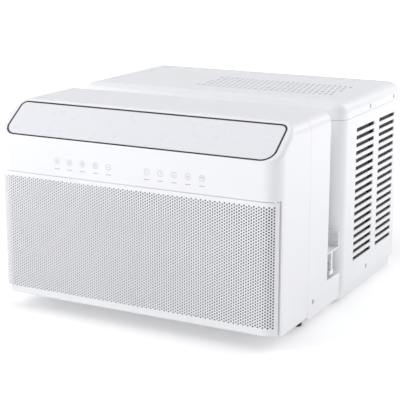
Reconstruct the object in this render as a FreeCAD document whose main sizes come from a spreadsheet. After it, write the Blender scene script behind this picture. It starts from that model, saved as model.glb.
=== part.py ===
import FreeCAD, Part
import math
import os
import types

import Sketcher
from FreeCAD import Placement, Rotation, Vector

# Window air conditioner with a U-shaped body. The window sash closes down through the channel
# between the indoor half (front) and the outdoor half (rear).
# Sizes are in millimetres. Inside each sub-part y is measured back from the front face and z up
# from the floor; every sub-part's Placement then moves it so that the origin is under the centre.

DIMENSIONS = {
    "width": 500, "depth": 545, "height": 342, "shell_wall": 2.5, "case_wall": 2.2, "gap": 0.5,
    "foot_tall": 6, "indoor_low": 24, "indoor_top": 340, "indoor_rear": 196,
    "seam_side": 118, "seam_top": 130, "corner_radius": 26, "shoulder_radius": 22,
    "grille_return": 15.8, "grille_low": 26.8, "grille_high": 231.6,
    "grille_pin_y": 12.5, "grille_pin_z": 29.5, "pin_radius": 2, "running_gap": 0.06,
    "flap_pivot_y": 30.4, "flap_pivot_z": 300.4, "flap_slope": 36.4, "flap_below": 25,
    "flap_above": 44, "flap_half": 235.4, "flap_face": 10, "flap_thick": 4, "flap_gap": 2,
    "slope_radius": 6,
    "bridge_low": 18, "bridge_top": 61, "bridge_rear": 249.6,
    "wheel_y": 130, "wheel_z": 182, "wheel_radius": 48, "scroll_radius": 58, "scroll_wall": 2.5,
    "duct_left": -205, "duct_right": 187, "duct_tilt": -45, "vane_y": 83, "vane_z": 275,
    "vane_pitch": 46, "vane_tall": 44, "vane_deep": 26, "vane_thick": 1.5, "peg_back": 9,
    "guide_top": 85, "arm_shelf": 104, "arm_top": 132, "arm_rear": 246, "arm_gap": 3,
    "case_front": 250, "case_rear": 534, "case_low": 24, "case_high": 312, "case_radius": 22,
    "cover_radius": 20, "cover_wall": 3, "slot_low": 63.4, "slot_pitch": 13, "slot_tall": 6.8,
    "fan_x": -75, "fan_z": 165, "fan_radius": 118, "shaft_radius": 5, "motor_radius": 42,
    "pump_x": 150, "pump_y": 350, "pump_radius": 55, "tank_x": 212, "tank_y": 298,
    "tank_radius": 20, "coil_tube": 4, "evap_pitch": 22, "cond_pitch": 24,
    "board_thick": 1.6, "pan_wall": 1.5, "pan_inset": 5.5, "drain_radius": 8, "gland_radius": 4.5,
}
SLOT_ROWS = 18
EVAPORATOR_PASSES = 8
CONDENSER_PASSES = 10
BLOWER_BLADES = 24
FAN_BLADES = 5
FEET_Y = (138, 282, 395, 505)
FOOT_X = 221
VENT_ROWS = 5
VENT_COLUMNS = 26

TURN_X = Rotation(Vector(0, 1, 0), 90)      # stands a cylinder's axis along X
TURN_Y = Rotation(Vector(1, 0, 0), -90)     # stands a cylinder's axis along Y


class Size:
    """A length that also remembers the spreadsheet formula behind it."""

    def __init__(self, value, formula=None):
        self.value = float(value)
        self.formula = formula or ("%.6g" % value if value >= 0 else "(%.6g)" % value)

    def _join(self, sign, other, value):
        return Size(value, "(%s %s %s)" % (self.formula, sign, other.formula))

    def __add__(self, other):
        other = as_size(other)
        return self._join("+", other, self.value + other.value)

    def __sub__(self, other):
        other = as_size(other)
        return self._join("-", other, self.value - other.value)

    def __mul__(self, other):
        other = as_size(other)
        return self._join("*", other, self.value * other.value)

    def __truediv__(self, other):
        other = as_size(other)
        return self._join("/", other, self.value / other.value)

    def __radd__(self, other):
        return as_size(other) + self

    def __rsub__(self, other):
        return as_size(other) - self

    def __rmul__(self, other):
        return as_size(other) * self

    def __neg__(self):
        return Size(-self.value, "(0 - %s)" % self.formula)


def as_size(number):
    return number if isinstance(number, Size) else Size(number)


doc = FreeCAD.newDocument("WindowAirConditioner")
sheet = doc.addObject("Spreadsheet::Sheet", "Dims")
for row, (alias, number) in enumerate(DIMENSIONS.items(), 1):
    sheet.set("A%d" % row, alias)
    sheet.set("B%d" % row, str(number))
    sheet.setAlias("B%d" % row, alias)
doc.recompute()
d = types.SimpleNamespace(**{alias: Size(n, "Dims." + alias) for alias, n in DIMENSIONS.items()})
half = d.width / 2
NODES = []


# ---- document helpers -------------------------------------------------------------------------

def bind(obj, **sizes):
    """Set each property and tie it to its spreadsheet formula."""
    for name, size in sizes.items():
        size = as_size(size)
        setattr(obj, name, size.value)
        if "Dims." in size.formula:
            obj.setExpression(name, size.formula)


def locate(obj, x, y, z, rotation=None):
    """Place an object at a bound position."""
    sizes = [as_size(c) for c in (x, y, z)]
    obj.Placement = Placement(Vector(*[s.value for s in sizes]), rotation or Rotation())
    for axis, size in zip("xyz", sizes):
        if "Dims." in size.formula:
            obj.setExpression("Placement.Base." + axis, size.formula)


def finish(obj, node, x=0, y=0, z=0, rotation=None):
    """Name a sub-part and move it into the shared frame."""
    obj.Label = node
    locate(obj, x, y - d.depth / 2, z, rotation)
    NODES.append(obj)
    return obj


def box(x, y, z):
    """Block between two values on each axis."""
    block = doc.addObject("Part::Box", "Block")
    bind(block, Length=x[1] - x[0], Width=y[1] - y[0], Height=z[1] - z[0])
    locate(block, x[0], y[0], z[0])
    return block


def rod(axis, start, end, u, v, radius):
    """Cylinder along an axis; u and v are its other two coordinates, in X, Y, Z order."""
    cylinder = doc.addObject("Part::Cylinder", "Rod")
    bind(cylinder, Radius=radius, Height=end - start)
    if axis == "x":
        locate(cylinder, start, u, v, TURN_X)
    elif axis == "y":
        locate(cylinder, u, start, v, TURN_Y)
    else:
        locate(cylinder, u, v, start)
    return cylinder


def fuse(*pieces):
    joined = doc.addObject("Part::MultiFuse", "Join")
    joined.Shapes = list(pieces)
    return joined


def common(*pieces):
    shared = doc.addObject("Part::MultiCommon", "Shared")
    shared.Shapes = list(pieces)
    return shared


def group(*pieces):
    """Separate solids that share one node."""
    together = doc.addObject("Part::Compound", "Group")
    together.Links = list(pieces)
    return together


def cut(base, *tools):
    result = doc.addObject("Part::Cut", "Cut")
    result.Base = base
    result.Tool = tools[0] if len(tools) == 1 else fuse(*tools)
    return result


def rounded(block, *rules):
    """Round a block's edges; each rule is a radius and a test on an edge."""
    doc.recompute()
    chosen = []
    for number, edge in enumerate(block.Shape.Edges, 1):
        for radius, test in rules:
            if test(edge):
                chosen.append((number, as_size(radius).value, as_size(radius).value))
    result = doc.addObject("Part::Fillet", "Rounded")
    result.Base = block
    result.Edges = chosen
    return result


def upright(edge):
    box_ = edge.BoundBox
    return box_.ZLength > max(box_.XLength, box_.YLength)


def along_y(edge):
    box_ = edge.BoundBox
    return box_.YLength > max(box_.XLength, box_.ZLength)


def above(level):
    return lambda edge: edge.BoundBox.ZMin > as_size(level).value - 0.01


def new_body():
    return doc.addObject("PartDesign::Body", "Body")


def sketch_on(body, role, offset=0):
    """Sketch on one of the body's own origin planes, moved along that plane's normal."""
    sketch = body.newObject("Sketcher::SketchObject", "Sketch")
    plane = [f for f in body.Origin.OriginFeatures if f.Role == role][0]
    sketch.AttachmentSupport = [(plane, "")]
    sketch.MapMode = "FlatFace"
    offset = as_size(offset)
    sketch.AttachmentOffset = Placement(Vector(0, 0, offset.value), Rotation())
    if "Dims." in offset.formula:
        sketch.setExpression("AttachmentOffset.Base.z", offset.formula)
    return sketch


def constrain(sketch, kind, *terms, size):
    """Add one driving dimension, tied to its formula."""
    size = as_size(size)
    number = sketch.addConstraint(Sketcher.Constraint(kind, *terms, size.value))
    if "Dims." in size.formula:
        name = "%s%d" % (kind.lower(), number)
        sketch.renameConstraint(number, name)
        sketch.setExpression("Constraints." + name, size.formula)


def arc_between(start, end, radius):
    """Arc from start to end; a positive radius bulges to the right of the way from start to end."""
    chord = end - start
    side = Vector(chord.y, -chord.x, 0).normalize()
    height = abs(radius) - math.sqrt(radius * radius - chord.Length ** 2 / 4)
    middle = (start + end) / 2 + side * math.copysign(height, radius)
    return Part.Arc(start, middle, end) if radius > 0 else Part.Arc(end, middle, start)


def outline(sketch, points):
    """Closed outline. A point (u, v) ends a straight side, and (u, v, radius) ends an arc."""
    places = [(as_size(p[0]), as_size(p[1])) for p in points]
    ends = []
    first = sketch.GeometryCount
    for number, point in enumerate(points):
        start = Vector(places[number - 1][0].value, places[number - 1][1].value, 0)
        end = Vector(places[number][0].value, places[number][1].value, 0)
        if len(point) == 3:
            radius = as_size(point[2])
            side = sketch.addGeometry(arc_between(start, end, radius.value))
            forward = sketch.Geometry[side].StartPoint.distanceToPoint(start) < 1e-6
            ends.append((side, 1, 2) if forward else (side, 2, 1))
        else:
            side = sketch.addGeometry(Part.LineSegment(start, end))
            ends.append((side, 1, 2))
    for number in range(len(points)):
        side, _, last = ends[number]
        following, head, _ = ends[(number + 1) % len(points)]
        sketch.addConstraint(Sketcher.Constraint("Coincident", side, last, following, head))
    for number, point in enumerate(points):
        side, _, last = ends[number]
        constrain(sketch, "DistanceX", -1, 1, side, last, size=places[number][0])
        constrain(sketch, "DistanceY", -1, 1, side, last, size=places[number][1])
        if len(point) == 3:
            length = as_size(point[2])
            constrain(sketch, "Radius", first + number, size=length if length.value > 0 else -length)


def circle(sketch, u, v, radius):
    place = [as_size(u), as_size(v)]
    centre = Vector(place[0].value, place[1].value, 0)
    ring = sketch.addGeometry(Part.Circle(centre, Vector(0, 0, 1), as_size(radius).value))
    constrain(sketch, "DistanceX", -1, 1, ring, 3, size=place[0])
    constrain(sketch, "DistanceY", -1, 1, ring, 3, size=place[1])
    constrain(sketch, "Radius", ring, size=radius)


def rectangle(sketch, u, v):
    outline(sketch, [(u[0], v[0]), (u[1], v[0]), (u[1], v[1]), (u[0], v[1])])


def soft_rectangle(sketch, u, v, radius):
    """Rectangle with rounded corners."""
    outline(sketch, [
        (u[1] - radius, v[0]), (u[1], v[0] + radius, radius),
        (u[1], v[1] - radius), (u[1] - radius, v[1], radius),
        (u[0] + radius, v[1]), (u[0], v[1] - radius, radius),
        (u[0], v[0] + radius), (u[0] + radius, v[0], radius),
    ])


def pad(body, sketch, length, both_ways=False, reverse=False):
    feature = body.newObject("PartDesign::Pad", "Pad")
    feature.Profile = sketch
    feature.Midplane = both_ways
    feature.Reversed = reverse
    bind(feature, Length=length)
    return feature


def pocket(body, sketch, length, both_ways=False, reverse=False):
    """Pocket that must take material away."""
    doc.recompute()
    before = body.Shape.Volume
    feature = body.newObject("PartDesign::Pocket", "Pocket")
    feature.Profile = sketch
    feature.Midplane = both_ways
    feature.Reversed = reverse
    bind(feature, Length=length)
    doc.recompute()
    if body.Shape.Volume > before - 1e-3:
        raise RuntimeError("a pocket in %s cuts nothing" % body.Name)
    return feature


def polar_pattern(body, feature, axis_role, count):
    pattern = body.newObject("PartDesign::PolarPattern", "Around")
    pattern.Originals = [feature]
    axis = [f for f in body.Origin.OriginFeatures if f.Role == axis_role][0]
    pattern.Axis = (axis, [""])
    pattern.Angle = 360
    pattern.Occurrences = count
    body.Tip = pattern
    return pattern


def linear_pattern(body, feature, axis_role, length, count):
    pattern = body.newObject("PartDesign::LinearPattern", "Row")
    pattern.Originals = [feature]
    axis = [f for f in body.Origin.OriginFeatures if f.Role == axis_role][0]
    pattern.Direction = (axis, [""])
    pattern.Occurrences = count
    bind(pattern, Length=length)
    body.Tip = pattern
    return pattern


def profile_block(points, length):
    """Side outline in Y and Z, drawn out evenly to both sides along X."""
    body = new_body()
    sketch = sketch_on(body, "YZ_Plane")
    outline(sketch, points)
    pad(body, sketch, length, both_ways=True)
    return body


def tube(points, bend, radius):
    """Round tube along straight runs joined by tangent arcs."""
    corners = [Vector(*[as_size(c).value for c in p]) for p in points]
    edges = []
    start = corners[0]
    for before, corner, after in zip(corners, corners[1:], corners[2:]):
        into = (corner - before).normalize()
        out = (after - corner).normalize()
        reach = bend * math.tan(into.getAngle(out) / 2)
        enter = corner - into * reach
        leave = corner + out * reach
        chord_middle = (enter + leave) / 2
        away = (chord_middle - corner).normalize()
        centre = corner + away * math.hypot(bend, reach)
        if start.distanceToPoint(enter) > 1e-6:
            edges.append(Part.LineSegment(start, enter).toShape())
        edges.append(Part.Arc(enter, centre - away * bend, leave).toShape())
        start = leave
    edges.append(Part.LineSegment(start, corners[-1]).toShape())
    first = (corners[1] - corners[0]).normalize()
    section = Part.Wire(Part.Circle(corners[0], first, as_size(radius).value).toShape())
    return Part.Wire(edges).makePipeShell([section], True, False)


def feature_of(shape):
    piece = doc.addObject("Part::Feature", "Piece")
    piece.Shape = shape
    return piece


def solid(shape):
    return shape if shape.ShapeType == "Solid" else Part.makeSolid(shape)


# ---- indoor half ------------------------------------------------------------------------------

def front_block(inset):
    """Front moulding's outer form, or its inner form when inset by the wall."""
    top = d.indoor_top - inset
    front = as_size(inset)
    slope = math.radians(d.flap_slope.value)
    rise = (d.flap_face - front) * (1 / math.cos(slope))
    side = [
        (front, d.indoor_low + inset),
        (front, d.flap_pivot_z + (front - d.flap_pivot_y) * math.tan(slope) + rise),
        (d.flap_pivot_y + (top - d.flap_pivot_z - rise) * (1 / math.tan(slope)), top),
        (d.seam_top, top),
        (d.seam_side, 312, 22),
        (d.seam_side, d.indoor_low + inset),
    ]
    if inset:
        side[3:] = [(d.seam_top + 1, top), (d.seam_top + 1, d.indoor_low + inset)]
    edge = half - inset
    block = box((-edge, edge), (front, d.seam_top + 20), (d.indoor_low - 5 + inset, top))
    corners = rounded(
        block,
        (d.corner_radius - inset, lambda e: upright(e) and e.BoundBox.YMin < 10),
        (d.shoulder_radius - inset, lambda e: along_y(e) and e.BoundBox.ZMin > 100),
    )
    return common(profile_block(side, d.width - 2 * as_size(inset)), corners)


def on_slope(piece, along, out):
    """Lay a piece on the louver door's sloping plane; along is up the slope, out is its normal."""
    turn = Rotation(Vector(1, 0, 0), d.flap_slope.value)
    shift = turn.multVec(Vector(0, as_size(along).value, as_size(out).value))
    piece.Placement = Placement(
        Vector(0, d.flap_pivot_y.value, d.flap_pivot_z.value) + shift, turn)
    return piece


def door_outline(grow):
    """Louver door outline on the sloping plane: tight corners above, wider corners below."""
    wide = d.flap_half + grow
    low = -(d.flap_below + grow)
    high = d.flap_above + grow
    tight = 9 + as_size(grow)
    wide_arc = 19 + as_size(grow)
    return [
        (-wide + wide_arc, low), (wide - wide_arc, low),
        (wide, low + wide_arc, wide_arc), (wide, high - tight),
        (wide - tight, high, tight), (-wide + tight, high),
        (-wide, high - tight, tight), (-wide, low + wide_arc),
        (-wide + wide_arc, low, wide_arc),
    ][1:]


def door_plate(grow, thick):
    body = new_body()
    sketch = sketch_on(body, "XY_Plane")
    outline(sketch, door_outline(grow))
    pad(body, sketch, thick)
    return body


def in_slope_plane(edge):
    """True for an edge that lies in the louver door's outer plane."""
    slope = math.radians(d.flap_slope.value)
    out = Vector(0, -math.sin(slope), math.cos(slope))
    base = Vector(0, d.flap_pivot_y.value, d.flap_pivot_z.value) + out * d.flap_face.value
    first, last = edge.FirstParameter, edge.LastParameter
    return all(abs((edge.valueAt(t) - base).dot(out)) < 1e-4
               for t in (first, (first + last) / 2, last))


def front_bezel():
    outer = rounded(front_block(0), (d.slope_radius, in_slope_plane))
    shell = cut(outer, front_block(d.shell_wall))
    grille_space = box((-half - 1, half + 1), (-1, d.grille_return + d.gap), (0, d.grille_high + 0.6))
    rim_rear = d.grille_return + d.gap + d.shell_wall
    rim = cut(
        box((-half + 1, half - 1), (rim_rear - d.shell_wall, rim_rear),
            (d.indoor_low + 1, d.grille_high + 0.6)),
        box((-212, 212), (0, 40), (36, 224)),
    )
    shelf = box((-half + 6, half - 6), (6, rim_rear), (d.grille_high + 0.6, d.grille_high + 3.1))
    opening = on_slope(door_plate(d.flap_gap, 40), 0, -20)
    ears = []
    pins = []
    for side in (-1, 1):
        ears.append(box(inward(side, 11, 15.5), (9.5, rim_rear), (26, 33)))
        pins.append(rod("x", *inward(side, 10, 17), d.grille_pin_y, d.grille_pin_z,
                        d.pin_radius + d.running_gap))
        ears.append(box(inward(side, 1.5, 12.9), (24.4, 36.4), (294, 306.4)))
        pins.append(rod("x", *inward(side, 7, 13.5), d.flap_pivot_y, d.flap_pivot_z,
                        3 + d.running_gap))
    shell = cut(shell, grille_space)
    return finish(cut(fuse(shell, rim, shelf, *ears), opening, *pins), "front_bezel")


def inward(side, near, far):
    """Span along x between two depths inside one side of the casing, lower end first."""
    return (half - far, half - near) if side > 0 else (-half + near, -half + far)


def grille_panel():
    """Front intake panel with wrapped corners; it swings down on two pins at its foot."""
    high = (d.grille_low, d.grille_high)
    outer = rounded(box((-half, half), (0, 60), high),
                    (d.corner_radius, lambda e: upright(e) and e.BoundBox.YMin < 10))
    edge = half - d.shell_wall
    inner = rounded(box((-edge, edge), (d.shell_wall, 61), (20, 240)),
                    (d.corner_radius - d.shell_wall, lambda e: upright(e) and e.BoundBox.YMin < 10))
    behind = box((-half - 1, half + 1), (d.grille_return, 62), (20, 240))
    toes = box((-half - 1, half + 1), (d.grille_return - 1, 62), (20, 33.5))
    pegs = [
        rod("x", *inward(side, 6.1, 15), d.grille_pin_y, d.grille_pin_z, d.pin_radius)
        for side in (-1, 1)
    ]
    return finish(fuse(cut(outer, inner, behind, toes), *pegs), "grille_panel")


def louver_door():
    """Sloping door over the air outlet, modelled on its own hinge axis."""
    body = new_body()
    face = sketch_on(body, "XY_Plane", d.flap_face - d.flap_thick)
    outline(face, door_outline(0))
    pad(body, face, d.flap_thick)
    for side in (-1, 1):
        arm = sketch_on(body, "YZ_Plane", (half - 19.5) * side)
        outline(arm, [(5, 0), (0, -5, -5), (-5, 0, -5), (-8, 7), (8, 7)])
        pad(body, arm, 5, both_ways=True)
        stub = sketch_on(body, "YZ_Plane", (half - 20.5) * side)
        circle(stub, 0, 0, 3)
        pad(body, stub, 13, reverse=side < 0)
    doc.recompute()
    finish(body, "louver_door", 0, d.flap_pivot_y, d.flap_pivot_z,
           Rotation(Vector(1, 0, 0), d.flap_slope.value))
    body.setExpression("Placement.Rotation.Angle", "Dims.flap_slope")
    return body


def louver_seal():
    """Black gasket behind the edge of the outlet opening."""
    body = new_body()
    level = d.flap_face - d.shell_wall - 3.2
    sketch = sketch_on(body, "XY_Plane", level)
    outline(sketch, door_outline(8.6))
    pad(body, sketch, 3)
    inner = sketch_on(body, "XY_Plane", level)
    wide = d.flap_half + 0.8
    low = -(d.flap_below + 2.4)
    high = d.flap_above + 0.8
    outline(inner, [
        (wide - 20, low), (wide, low + 20, 20), (wide, high - 9.8), (wide - 9.8, high, 9.8),
        (-wide + 9.8, high), (-wide, high - 9.8, 9.8), (-wide, low + 20), (-wide + 20, low, 20),
    ])
    pocket(body, inner, 3.5, reverse=True)
    trimmed = common(on_slope(body, 0, 0), front_block(d.shell_wall + 0.3))
    notches = [box(inward(side, 1.5, 14.5), (22, 39), (290, 309)) for side in (-1, 1)]
    return finish(cut(trimmed, *notches), "louver_seal")


def rear_block(inset):
    """Indoor rear moulding with the low bridge that runs back under the window sash."""
    top = d.indoor_top - inset
    rear = d.indoor_rear - inset
    deck = d.bridge_top - inset
    front = d.gap
    side = [
        (d.seam_side + front, d.bridge_low + inset), (d.bridge_rear - inset, d.bridge_low + inset),
        (d.bridge_rear - inset, deck), (rear, deck), (rear, top),
        (d.seam_top + front, top), (d.seam_side + front, 312, 22),
    ]
    if inset:
        side[5:] = [(d.seam_side - 5, top), (d.seam_side - 5, d.bridge_low + inset)]
        side = side[1:]
    edge = half - inset
    block = box((-edge, edge), (d.seam_side - 40, d.indoor_rear + 60 - inset),
                (d.bridge_low - 20 + inset, top))
    soft = rounded(block, (d.shoulder_radius - inset,
                           lambda e: along_y(e) and e.BoundBox.ZMin > 100))
    return common(profile_block(side, d.width - 2 * as_size(inset)), soft)


def rear_housing():
    shell = cut(rear_block(0), rear_block(d.shell_wall))
    pipes = box((120, 216), (d.bridge_rear - 5, d.bridge_rear + 2), (30, 56))
    gland = rod("x", -half - 1, -half + 6, 160, 90, 10.2)
    screws = [rod("x", s * half - 5, s * half + 5, 138.7, 42.8, 4.3) for s in (-1, 1)]
    return finish(cut(shell, pipes, gland, *screws), "rear_housing")


def cord_gland():
    flange = rod("x", -half + 3, -half + 5.5, 160, 90, 14)
    barrel = rod("x", -half + 0.2, -half + 5.5, 160, 90, 10)
    bore = rod("x", -half - 1, -half + 6, 160, 90, d.gland_radius)
    return finish(cut(fuse(flange, barrel), bore), "cord_gland")


def air_filter():
    """Filter frame with cross ribs and a thin mesh sheet."""
    frame = cut(box((-214, 214), (19.5, 24), (34, 226)), box((-208, 208), (19, 25), (40, 220)))
    ribs = [box((x - 1, x + 1), (20, 23.5), (39, 221)) for x in (-104, 0, 104)]
    mesh = box((-209, 209), (21.4, 22.2), (39, 221))
    return finish(fuse(frame, mesh, *ribs), "air_filter")


def scroll_outline():
    """Rear guide wall: an arc around the blower, then a straight run up to the outlet."""
    inner = d.scroll_radius.value
    outer = inner + d.scroll_wall.value
    y, z = d.wheel_y, d.wheel_z
    lower = math.radians(235)
    tangent = math.radians(45)

    def at(radius, angle):
        return (y + radius * math.cos(angle), z + radius * math.sin(angle))

    run = 155.0 - 4
    end_inner = at(inner, tangent)
    end_outer = at(outer, tangent)
    slide = run * math.sqrt(0.5)
    bottom = math.radians(305)
    side = math.radians(0)
    return [
        at(inner, lower), at(outer, lower),
        (*at(outer, bottom), outer), (*at(outer, side), outer), (*end_outer, outer),
        (end_outer[0] - slide, end_outer[1] + slide), (end_inner[0] - slide, end_inner[1] + slide),
        end_inner, (*at(inner, side), -inner), (*at(inner, bottom), -inner),
        (*at(inner, lower), -inner),
    ][1:]


def scroll_casing():
    body = new_body()
    wall = sketch_on(body, "YZ_Plane", d.duct_left)
    outline(wall, scroll_outline())
    pad(body, wall, d.duct_right - d.duct_left)
    plates = []
    for start in (d.duct_left - 2, d.duct_right):
        plate = profile_sheet(start, 2)
        hole = rod("x", start - 1, start + 3, d.wheel_y, d.wheel_z, 8)
        plates.append(cut(plate, hole))
    return finish(fuse(body, *plates), "scroll_casing")


def profile_sheet(start, thick):
    """End plate of the blower casing."""
    body = new_body()
    sketch = sketch_on(body, "YZ_Plane", start)
    outer = d.scroll_radius + d.scroll_wall
    y, z = d.wheel_y, d.wheel_z
    outline(sketch, [
        (y - outer, z), (y, z - outer, outer), (y + outer, z, outer),
        (y + outer * 0.7071, z + outer * 0.7071, outer), (67, 329), (67, 258),
    ])
    pad(body, sketch, thick)
    return body


def in_duct(piece):
    """Turn a piece into the sloping outlet duct's own directions."""
    turn = Rotation(Vector(1, 0, 0), d.duct_tilt.value)
    base = Placement(Vector(0, d.vane_y.value, d.vane_z.value), turn)
    piece.Placement = base.multiply(piece.Placement)
    return piece


def outlet_duct():
    """Lower wall of the outlet from the blower's cut-off to the front, with the vane rail."""
    body = new_body()
    sketch = sketch_on(body, "YZ_Plane", d.duct_left + 0.3)
    outline(sketch, [
        (98, 222), (67, 255.5), (16, 266, 80), (3.2, 266), (3.2, 263.5), (16, 263.5),
        (65.5, 253.2, -78), (96.5, 219.8),
    ])
    pad(body, sketch, d.duct_right - d.duct_left - 0.6)
    rail = doc.addObject("Part::Box", "Rail")
    bind(rail, Length=d.duct_right - d.duct_left - 0.6, Width=10, Height=3.4)
    rail.Placement = Placement(Vector(d.duct_left.value + 0.3, -5, -26.4), Rotation())
    rail = in_duct(rail)
    holes = []
    for x in vane_places():
        hole = doc.addObject("Part::Cylinder", "Socket")
        bind(hole, Radius=1.5 + d.running_gap, Height=6)
        hole.Placement = Placement(Vector(x, 0, -28), Rotation())
        holes.append(in_duct(hole))
    return finish(cut(fuse(body, rail), *holes), "outlet_duct")


def vane_places():
    centre = (d.duct_left.value + d.duct_right.value) / 2
    return [centre + (number - 3.5) * d.vane_pitch.value for number in range(8)]


def vane(node, x):
    """Upright vane with its foot pin and the peg that carries the link bar."""
    body = new_body()
    tall = d.vane_tall / 2
    deep = d.vane_deep / 2
    blade = sketch_on(body, "YZ_Plane")
    outline(blade, [(-deep, -tall), (deep, -tall), (deep, tall), (-deep, tall)])
    pad(body, blade, d.vane_thick, both_ways=True)
    foot = sketch_on(body, "XY_Plane", -tall - 4)
    circle(foot, 0, 0, 1.5)
    pad(body, foot, 5)
    peg = sketch_on(body, "XY_Plane", tall - 1)
    circle(peg, 0, d.peg_back, 1)
    pad(body, peg, 3.2)
    turn = Rotation(Vector(1, 0, 0), d.duct_tilt.value)
    finish(body, node, x, d.vane_y, d.vane_z, turn)
    body.setExpression("Placement.Rotation.Angle", "Dims.duct_tilt")
    return body


def vane_link(node, places):
    """Bar that ties one bank of vanes together, with a grip tab in its middle."""
    body = new_body()
    level = d.vane_tall / 2 + 0.4
    bar = sketch_on(body, "XY_Plane", level)
    rectangle(bar, (places[0] - 5, places[-1] + 5), (d.peg_back - 2.5, d.peg_back + 2.5))
    pad(body, bar, 1.6)
    grip = sketch_on(body, "XY_Plane", level)
    middle = (places[1] + places[2]) / 2
    rectangle(grip, (middle - 4, middle + 4), (-16, d.peg_back))
    pad(body, grip, 1.6)
    sockets = sketch_on(body, "XY_Plane", level - 1)
    for x in places:
        circle(sockets, x, d.peg_back, 1 + d.running_gap)
    pocket(body, sockets, 4, reverse=True)
    turn = Rotation(Vector(1, 0, 0), d.duct_tilt.value)
    finish(body, node, 0, d.vane_y, d.vane_z, turn)
    body.setExpression("Placement.Rotation.Angle", "Dims.duct_tilt")
    return body


def blower_wheel():
    """Cross-flow blower: curved blades between rings, with a shaft stub at each end."""
    body = new_body()
    left = d.duct_left + 4
    long_ = d.duct_right - d.duct_left - 8
    disc = sketch_on(body, "YZ_Plane", left)
    circle(disc, 0, 0, d.wheel_radius)
    pad(body, disc, 2)
    blade = sketch_on(body, "YZ_Plane", left)
    outline(blade, [(47.4, 0), (46.8, 1.4), (37.4, 5.2, -14), (37.2, 3.6), (47.4, 0, 13)][:-1])
    first = pad(body, blade, long_)
    doc.recompute()
    polar_pattern(body, first, "X_Axis", BLOWER_BLADES)
    doc.recompute()
    rings = 5
    step = (long_ - 2) / rings
    for number in range(1, rings + 1):
        ring = sketch_on(body, "YZ_Plane", left + step * number)
        circle(ring, 0, 0, d.wheel_radius)
        if number < rings:
            circle(ring, 0, 0, 37)
        pad(body, ring, 2)
    for start, length in ((left - 10, 11), (left + long_ - 1, 16)):
        stub = sketch_on(body, "YZ_Plane", start)
        circle(stub, 0, 0, 4)
        pad(body, stub, length)
    return finish(body, "blower_wheel", 0, d.wheel_y, d.wheel_z)


def blower_bearing():
    ring = rod("x", d.duct_left - 9, d.duct_left - 2.2, d.wheel_y, d.wheel_z, 13)
    bore = rod("x", d.duct_left - 10, d.duct_left - 2, d.wheel_y, d.wheel_z, 4 + d.running_gap)
    return finish(cut(ring, bore), "blower_bearing")


def blower_motor():
    start = d.duct_right + 4
    can = rod("x", start, start + 34, d.wheel_y, d.wheel_z, 36)
    boss = rod("x", start - 1.5, start + 1, d.wheel_y, d.wheel_z, 12)
    bore = rod("x", start - 3, start + 12, d.wheel_y, d.wheel_z, 4 + d.running_gap)
    straps = [
        box((start + 6, start + 14), (d.wheel_y + 20, d.indoor_rear - 2.8), (z, z + 8))
        for z in (d.wheel_z - 4, d.wheel_z + 20)
    ]
    return finish(cut(fuse(can, boss, *straps), bore), "blower_motor")


def fin_block(node, x, y, z, tube_y, first_z, pitch, passes):
    """Finned core with the tube holes through it."""
    body = new_body()
    core = sketch_on(body, "XY_Plane", z[0])
    rectangle(core, x, y)
    pad(body, core, z[1] - z[0])
    hole = sketch_on(body, "YZ_Plane", x[0] - 1)
    circle(hole, tube_y, first_z, d.coil_tube + 0.02)
    bored = pocket(body, hole, x[1] - x[0] + 2, reverse=True)
    linear_pattern(body, bored, "Z_Axis", pitch * (passes - 1), passes)
    doc.recompute()
    return finish(body, node)


def serpentine(node, x, tube_y, first_z, pitch, passes):
    """One tube that runs to and fro through the core, joined by return bends."""
    radius = pitch.value / 2
    edges = []
    here = Vector(x[1] + 5, tube_y, first_z)
    for number in range(passes):
        level = first_z + pitch.value * number
        right_first = number % 2 == 0
        target = x[0] - 3 if right_first else x[1] + 3
        if number == passes - 1:
            target = x[1] + 5
        there = Vector(target, tube_y, level)
        edges.append(Part.LineSegment(here, there).toShape())
        if number == passes - 1:
            break
        side = -1 if right_first else 1
        middle = there + Vector(side * radius, 0, radius)
        end = there + Vector(0, 0, pitch.value)
        edges.append(Part.Arc(there, middle, end).toShape())
        here = end
    section = Part.Wire(Part.Circle(Vector(x[1] + 5, tube_y, first_z), Vector(1, 0, 0),
                                    d.coil_tube.value).toShape())
    pipe = Part.Wire(edges).makePipeShell([section], True, False)
    return finish(feature_of(pipe), node)


def tray(node, x, y, z, wall):
    """Open tray."""
    body = new_body()
    outside = sketch_on(body, "XY_Plane", z[0])
    rectangle(outside, x, y)
    pad(body, outside, z[1] - z[0])
    inside = sketch_on(body, "XY_Plane", z[0] + wall)
    rectangle(inside, (x[0] + wall, x[1] - wall), (y[0] + wall, y[1] - wall))
    pocket(body, inside, z[1] - z[0], reverse=True)
    return finish(body, node)


def board(node, x, y, z, parts):
    """Circuit board with a few raised components; each part is (x, y, z) spans."""
    return finish(fuse(box(x, y, z), *[box(*span) for span in parts]), node)


def control_box():
    """Electrical box beside the evaporator, open towards the blower."""
    outer = box((214, 239), (26, 90), (60, 215))
    return finish(cut(outer, box((212, 237), (28, 88), (62, 213))), "control_box")


def bridge_foam():
    """Insulating block that fills the bridge beside the pipes."""
    block = box((-236, 108), (140, 244), (22, 57))
    channel = box((-240, 112), (180, 192), (48, 58))
    return finish(cut(block, channel), "bridge_foam")


# ---- window channel ---------------------------------------------------------------------------

def arm_guide():
    """Rail on the bridge with a T-shaped groove for the two sliding arms."""
    body = new_body()
    sketch = sketch_on(body, "YZ_Plane")
    low, high = d.bridge_top + 0.1, d.guide_top
    outline(sketch, [
        (199, low), (232, low), (232, high), (219.2, high), (219.2, 74.6), (223.2, 74.6),
        (223.2, 66), (207.8, 66), (207.8, 74.6), (211.8, 74.6), (211.8, high), (199, high),
    ])
    pad(body, sketch, d.width - 7, both_ways=True)
    return finish(body, "arm_guide")


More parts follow.
